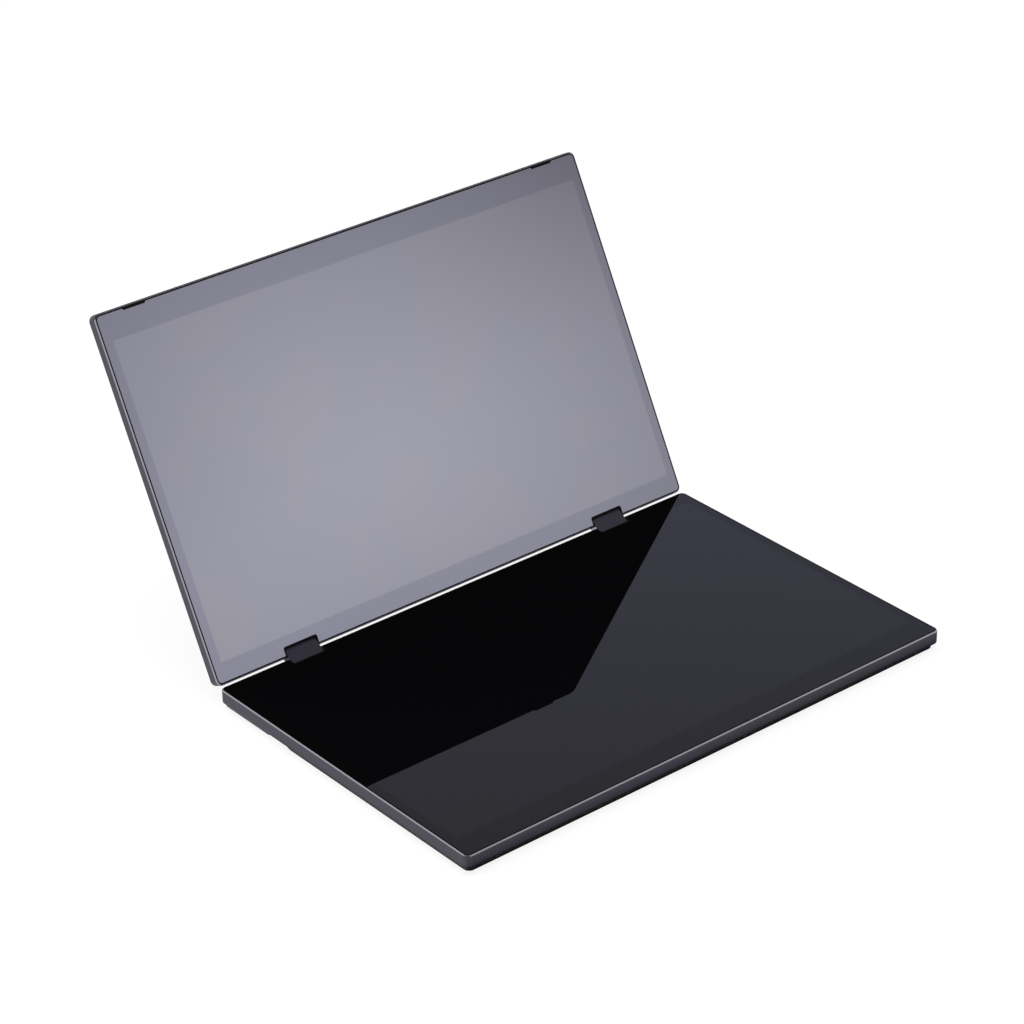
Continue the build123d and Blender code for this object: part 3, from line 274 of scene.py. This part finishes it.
def satin_paint(name, colour, rough, gloss):
    """Painted metal with a faint orange-peel."""
    material, f = start(name)
    peel = f.grain(0.7 * MM)
    clouds = f.grain(14 * MM)
    f.surface(
        Base_Color=f.vary(clouds, colour, 0.9, 1.1),
        Roughness=rough + peel * 0.08,
        Specular_IOR_Level=gloss,
        Normal=f.bump(peel, 0.01 * MM, 0.5),
    )
    return material


def ground_steel(name, colour, rough, stretch):
    """Steel with fine grinding lines."""
    material, f = start(name)
    lines = f.grain(0.12 * MM, stretch=stretch)
    stains = f.grain(3 * MM, 3.0)
    f.surface(
        Base_Color=f.vary(lines * 0.6 + stains * 0.4, colour, 0.75, 1.2),
        Metallic=1.0,
        Roughness=rough + stains * 0.12 + lines * 0.06,
        Normal=f.bump(lines, 0.004 * MM, 0.5),
    )
    return material


def plated_socket(name, colour):
    """Nickel shell. The tongue inside is black, with gilt contacts on its faces."""
    material, f = start(name)
    level = abs(f.along(f.spot(), (0, 0, 1), (0, 0, SOCKET_LEVEL)))
    outward = f.along(f.spot(), ACROSS)
    tongue = (1 - f.step(level, TONGUE_HALF_HEIGHT, 0.02 * MM)) * f.step(outward, TONGUE_FOOT, 0.25 * MM)
    off_contact = abs(f.along(f.spot(), (0, 1, 0)) % CONTACT_PITCH - CONTACT_PITCH / 2)
    stripe = 1 - f.step(off_contact, CONTACT_HALF_WIDTH, 0.015 * MM)
    contact = tongue * f.rise(abs(f.facing((0, 0, 1))), 0.7, 0.9) * stripe
    lines = f.grain(0.15 * MM, stretch=(0.1, 1, 1))
    shell = f.vary(lines, colour, 0.85, 1.0)
    f.surface(
        Base_Color=f.shade(contact, f.shade(tongue, shell, TONGUE_BLACK), GILT),
        Metallic=1 - tongue * (1 - contact),
        Roughness=0.24 + lines * 0.1 + tongue * 0.15,
    )
    return material


def solder_mask(name, colour):
    """Circuit board: green mask over copper tracks."""
    material, f = start(name)
    tracks = 1 - f.rise(f.cells(2.2 * MM, "DISTANCE_TO_EDGE"), 0.04, 0.09)
    clouds = f.grain(6 * MM)
    f.surface(
        Base_Color=f.shade(tracks * 0.6 + clouds * 0.2, colour, TRACK_GREEN),
        Roughness=0.35 + clouds * 0.15,
        Normal=f.bump(tracks, 0.03 * MM),
    )
    return material


def braided_sleeve(name, colour):
    """Black cable sleeve with a fine braid."""
    material, f = start(name)
    braid = f.add(
        "ShaderNodeTexWave", {"bands_direction": "DIAGONAL"}, {"Vector": f.spot(), "Scale": 1400.0}, "Fac"
    )
    f.surface(
        Base_Color=f.vary(braid, colour, 0.5, 1.6),
        Roughness=0.6 + braid * 0.15,
        Normal=f.bump(braid, 0.03 * MM),
    )
    return material


def screen_layer(name, colour, rough):
    """Display cell or backlight: an even sheet with a faint mottle."""
    material, f = start(name)
    mottle = f.grain(4 * MM, 3.0)
    f.surface(
        Base_Color=f.vary(mottle, colour, 0.92, 1.0),
        Roughness=rough + mottle * 0.08,
    )
    return material


GUNMETAL = (0.072, 0.0675, 0.0885)
finishes = {
    "display_cell": screen_layer("display_cell", (0.02, 0.02, 0.024), rough=0.2),
    "backlight": screen_layer("backlight_white", (0.75, 0.75, 0.74), rough=0.5),
    "seal": soft_black(
        "black_seal", (0.003, 0.003, 0.0033), size=0.3 * MM, depth=0.01 * MM, rough=0.6, gloss=0.02
    ),
    "circuit_board": solder_mask("solder_mask", (0.02, 0.09, 0.05)),
    "fastener_steel": ground_steel("fastener_steel", (0.35, 0.35, 0.36), rough=0.3, stretch=(1, 1, 1)),
    "socket_steel": plated_socket("plated_socket", (0.55, 0.54, 0.52)),
    "bracket_steel": ground_steel("bracket_steel", (0.42, 0.42, 0.43), rough=0.35, stretch=(1, 0.08, 1)),
    "hinge_steel": ground_steel("hinge_steel", (0.3, 0.3, 0.31), rough=0.28, stretch=(0.05, 1, 1)),
    "hinge_cover": satin_paint("hinge_slate", (0.030, 0.027, 0.0425), rough=0.42, gloss=0.4),
    "cable": braided_sleeve("cable_sleeve", (0.015, 0.015, 0.016)),
    "inner_plastic": soft_black(
        "inner_plastic", (0.02, 0.02, 0.021), size=0.5 * MM, depth=0.02 * MM, rough=0.5, gloss=0.2
    ),
    "key_metal": blasted_metal("key_metal", "base", [c * 1.1 for c in GUNMETAL]),
    "stand_dark": satin_paint("stand_black", (0.0062, 0.0058, 0.0078), rough=0.45, gloss=0.06),
    "rubber": soft_black(
        "rubber_black", (0.006, 0.006, 0.0066), size=0.6 * MM, depth=0.03 * MM, rough=0.72, gloss=0.05
    ),
}
for panel in PANELS:
    finishes[panel, "gunmetal"] = blasted_metal(f"gunmetal_{panel}", panel, GUNMETAL)
    finishes[panel, "cover_glass"] = printed_glass(f"cover_glass_{panel}", panel)

for part in frame["record"]["subparts"]:
    node, slot = nodes[part["node"]], part["material_slot"]
    panel = "lid" if part["node"].startswith("lid") else "base"
    node.data.materials.clear()
    node.data.materials.append(finishes[slot] if slot in finishes else finishes[panel, slot])


# Studio: a pale floor, a white room, soft boxes, two lights that one screen each mirrors, dark cloths, and a
# dark sheet of painted shade before the front wall
def rays(f, *kinds):
    """1 for rays of these kinds."""
    paths = [f.add("ShaderNodeLightPath", out=f"Is {kind} Ray") for kind in kinds]
    return f.add("ShaderNodeClamp", {}, {0: sum(paths)})


def aim(piece, middle, towards, front):
    """Put a piece in the scene with its front towards a point."""
    bpy.context.scene.collection.objects.link(piece)
    piece.location = middle
    piece.rotation_mode = "QUATERNION"
    piece.rotation_quaternion = (Vector(towards) - Vector(middle)).to_track_quat(front, "Y")


def sheet(name, middle, towards, width, depth):
    """A flat stage sheet facing a point."""
    half_w, half_d = width / 2, depth / 2
    corners = [(-half_w, -half_d, 0), (half_w, -half_d, 0), (half_w, half_d, 0), (-half_w, half_d, 0)]
    mesh = bpy.data.meshes.new(name)
    mesh.from_pydata(corners, [], [(0, 1, 2, 3)])
    piece = bpy.data.objects.new(name, mesh)
    aim(piece, middle, towards, "Z")
    return piece


def soft_box(name, middle, towards, width, depth, power, colour=(1, 1, 1)):
    """A rectangular lamp facing a point."""
    lamp = bpy.data.lights.new(name, "AREA")
    lamp.shape = "RECTANGLE"
    lamp.size, lamp.size_y = width, depth
    lamp.energy = power
    lamp.color = colour
    piece = bpy.data.objects.new(name, lamp)
    aim(piece, middle, towards, "-Z")
    return piece


def dim_face(piece, *fades):
    """Dim a soft box across its face. Each fade has a way, where it starts and ends, and its share."""
    piece.data.use_nodes = True
    f = Finish(piece.data.node_tree)
    place = f.add("ShaderNodeNewGeometry", out="Parametric")
    left = prod(1 - f.rise(f.along(place, way), low, high) * share for way, low, high, share in fades)
    beam = f.add("ShaderNodeEmission", {}, {"Color": f.shade(left, (0, 0, 0), (1, 1, 1))})
    f.add("ShaderNodeOutputLight", {}, {"Surface": beam})


def mirrored_by(piece, glass):
    """Let one pane of glass alone mirror this light."""
    pane = bpy.data.collections.new(f"mirror_{glass}")
    pane.objects.link(nodes[glass])
    piece.light_linking.receiver_collection = pane
    piece.visible_diffuse = False


ROOM_LIGHT = 0.5
world = bpy.data.worlds.new("white_room")
bpy.context.scene.world = world
world.use_nodes = True
room = Finish(world.node_tree)
strength = ROOM_LIGHT + rays(room, "Camera", "Glossy", "Transmission") * (1 - ROOM_LIGHT)
sky = room.add("ShaderNodeBackground", {}, {"Color": (1, 1, 1, 1), "Strength": strength})
room.add("ShaderNodeOutputWorld", {}, {"Surface": sky})

FLOOR_GLOW, FLOOR_GLOW_SHARE = 1.08, 0.8
floor = sheet("floor", (0, 0, 0), (0, 0, 1), width=12, depth=12)
floor_paint, f = start("pale_floor")
matte = f.add("ShaderNodeBsdfDiffuse", {}, {"Color": (0.86, 0.86, 0.86, 1)})
glow = f.add("ShaderNodeEmission", {}, {"Color": (1, 1, 1, 1), "Strength": FLOOR_GLOW})
seen = rays(f, "Camera", "Glossy", "Transmission")
mixed = f.add("ShaderNodeMixShader", {}, {0: seen * FLOOR_GLOW_SHARE, 1: matte, 2: glow})
f.add("ShaderNodeOutputMaterial", {}, {"Surface": mixed})
floor.data.materials.append(floor_paint)

# The cloths show in reflections only: above the part and above its front left corner. The dark sheet before
# the front wall shows in reflections only too; it is painted shade, standing in for the floor's contact
# shadow in the wall's reflection.
black_cloth, f = start("black_cloth")
f.surface(Base_Color=(0.01, 0.01, 0.011), Roughness=0.9, Specular_IOR_Level=0.0)
for cloth in (
    sheet("dark_ceiling", (-0.05, -0.1, 1.5), (-0.05, -0.1, 0), width=3.5, depth=2.3),
    sheet("dark_wing", (-1.0, -1.75, 1.5), (-1.0, -1.75, 0), width=1.6, depth=1.0),
    # Painted shade: a dark sheet on the floor before the front wall, seen only in reflections
    sheet("painted_shade_apron", (0.005, -0.17125, 0.0003), (0.005, -0.17125, 1), width=0.380, depth=0.0105),
):
    cloth.data.materials.append(black_cloth)
    cloth.visible_camera = cloth.visible_diffuse = cloth.visible_shadow = False

# The soft boxes light the part and don't show in it
for box in (
    soft_box("key_box", (-1.05, 1.3, 1.0), (0, 0, 0.05), width=1.9, depth=1.9, power=13.5),
    soft_box("top_box", (-0.2, -0.1, 2.0), (0, 0, 0.05), width=1.6, depth=1.6, power=20),
):
    box.visible_glossy = False

# The lid mirrors a grey card that fades to its far side, one corner and its foot
CARD_WAY, CARD_DISTANCE = Vector((0.558, -0.781, 0.2785)).normalized(), 1.6
CARD_GREY = (0.95, 0.937, 0.965)
lid_middle = LID_HEEL + LID_RUN * PANEL_MIDDLE
card_place = lid_middle + CARD_WAY * CARD_DISTANCE
card = soft_box("lid_card", card_place, lid_middle, width=1.6, depth=1.2, power=246, colour=CARD_GREY)
dim_face(
    card,
    ((1, 0.38, 0), 0.62, 1.15, 0.95),
    ((-1, 1, 0), 0.04, 0.73, 0.49),
    ((0, -1, 0), -0.56, -0.26, 0.33),
)
mirrored_by(card, "lid_cover_glass")

# The base mirrors a bluish window that fades upwards
WINDOW_PLACE, WINDOW_BLUE = (1.15, 1.29, 1.05), (0.04, 0.04, 1.0)
base_middle = (0, -0.05, 0.01)
window = soft_box(
    "blue_window", WINDOW_PLACE, base_middle, width=2.4, depth=2.0, power=5.0, colour=WINDOW_BLUE
)
dim_face(window, ((0, 1, 0), 0.42, 0.62, 0.52))
mirrored_by(window, "base_cover_glass")

# Camera at the photograph's place
EYE = Vector((-1.13596, -1.36121, 1.06946))
RIGHT = Vector((0.76626, -0.64246, -0.00963))
UP = Vector((0.31793, 0.36609, 0.87458))
FOCAL_LENGTH, SENSOR_WIDTH = 123.02, 36
lens = bpy.data.cameras.new("camera")
lens.lens = FOCAL_LENGTH
lens.sensor_width = SENSOR_WIDTH
camera = bpy.data.objects.new("camera", lens)
bpy.context.scene.collection.objects.link(camera)
turn = Matrix((RIGHT, UP, RIGHT.cross(UP))).transposed().to_4x4()
camera.matrix_world = Matrix.Translation(EYE) @ turn
bpy.context.scene.camera = camera
bpy.context.scene.view_settings.view_transform = "Standard"
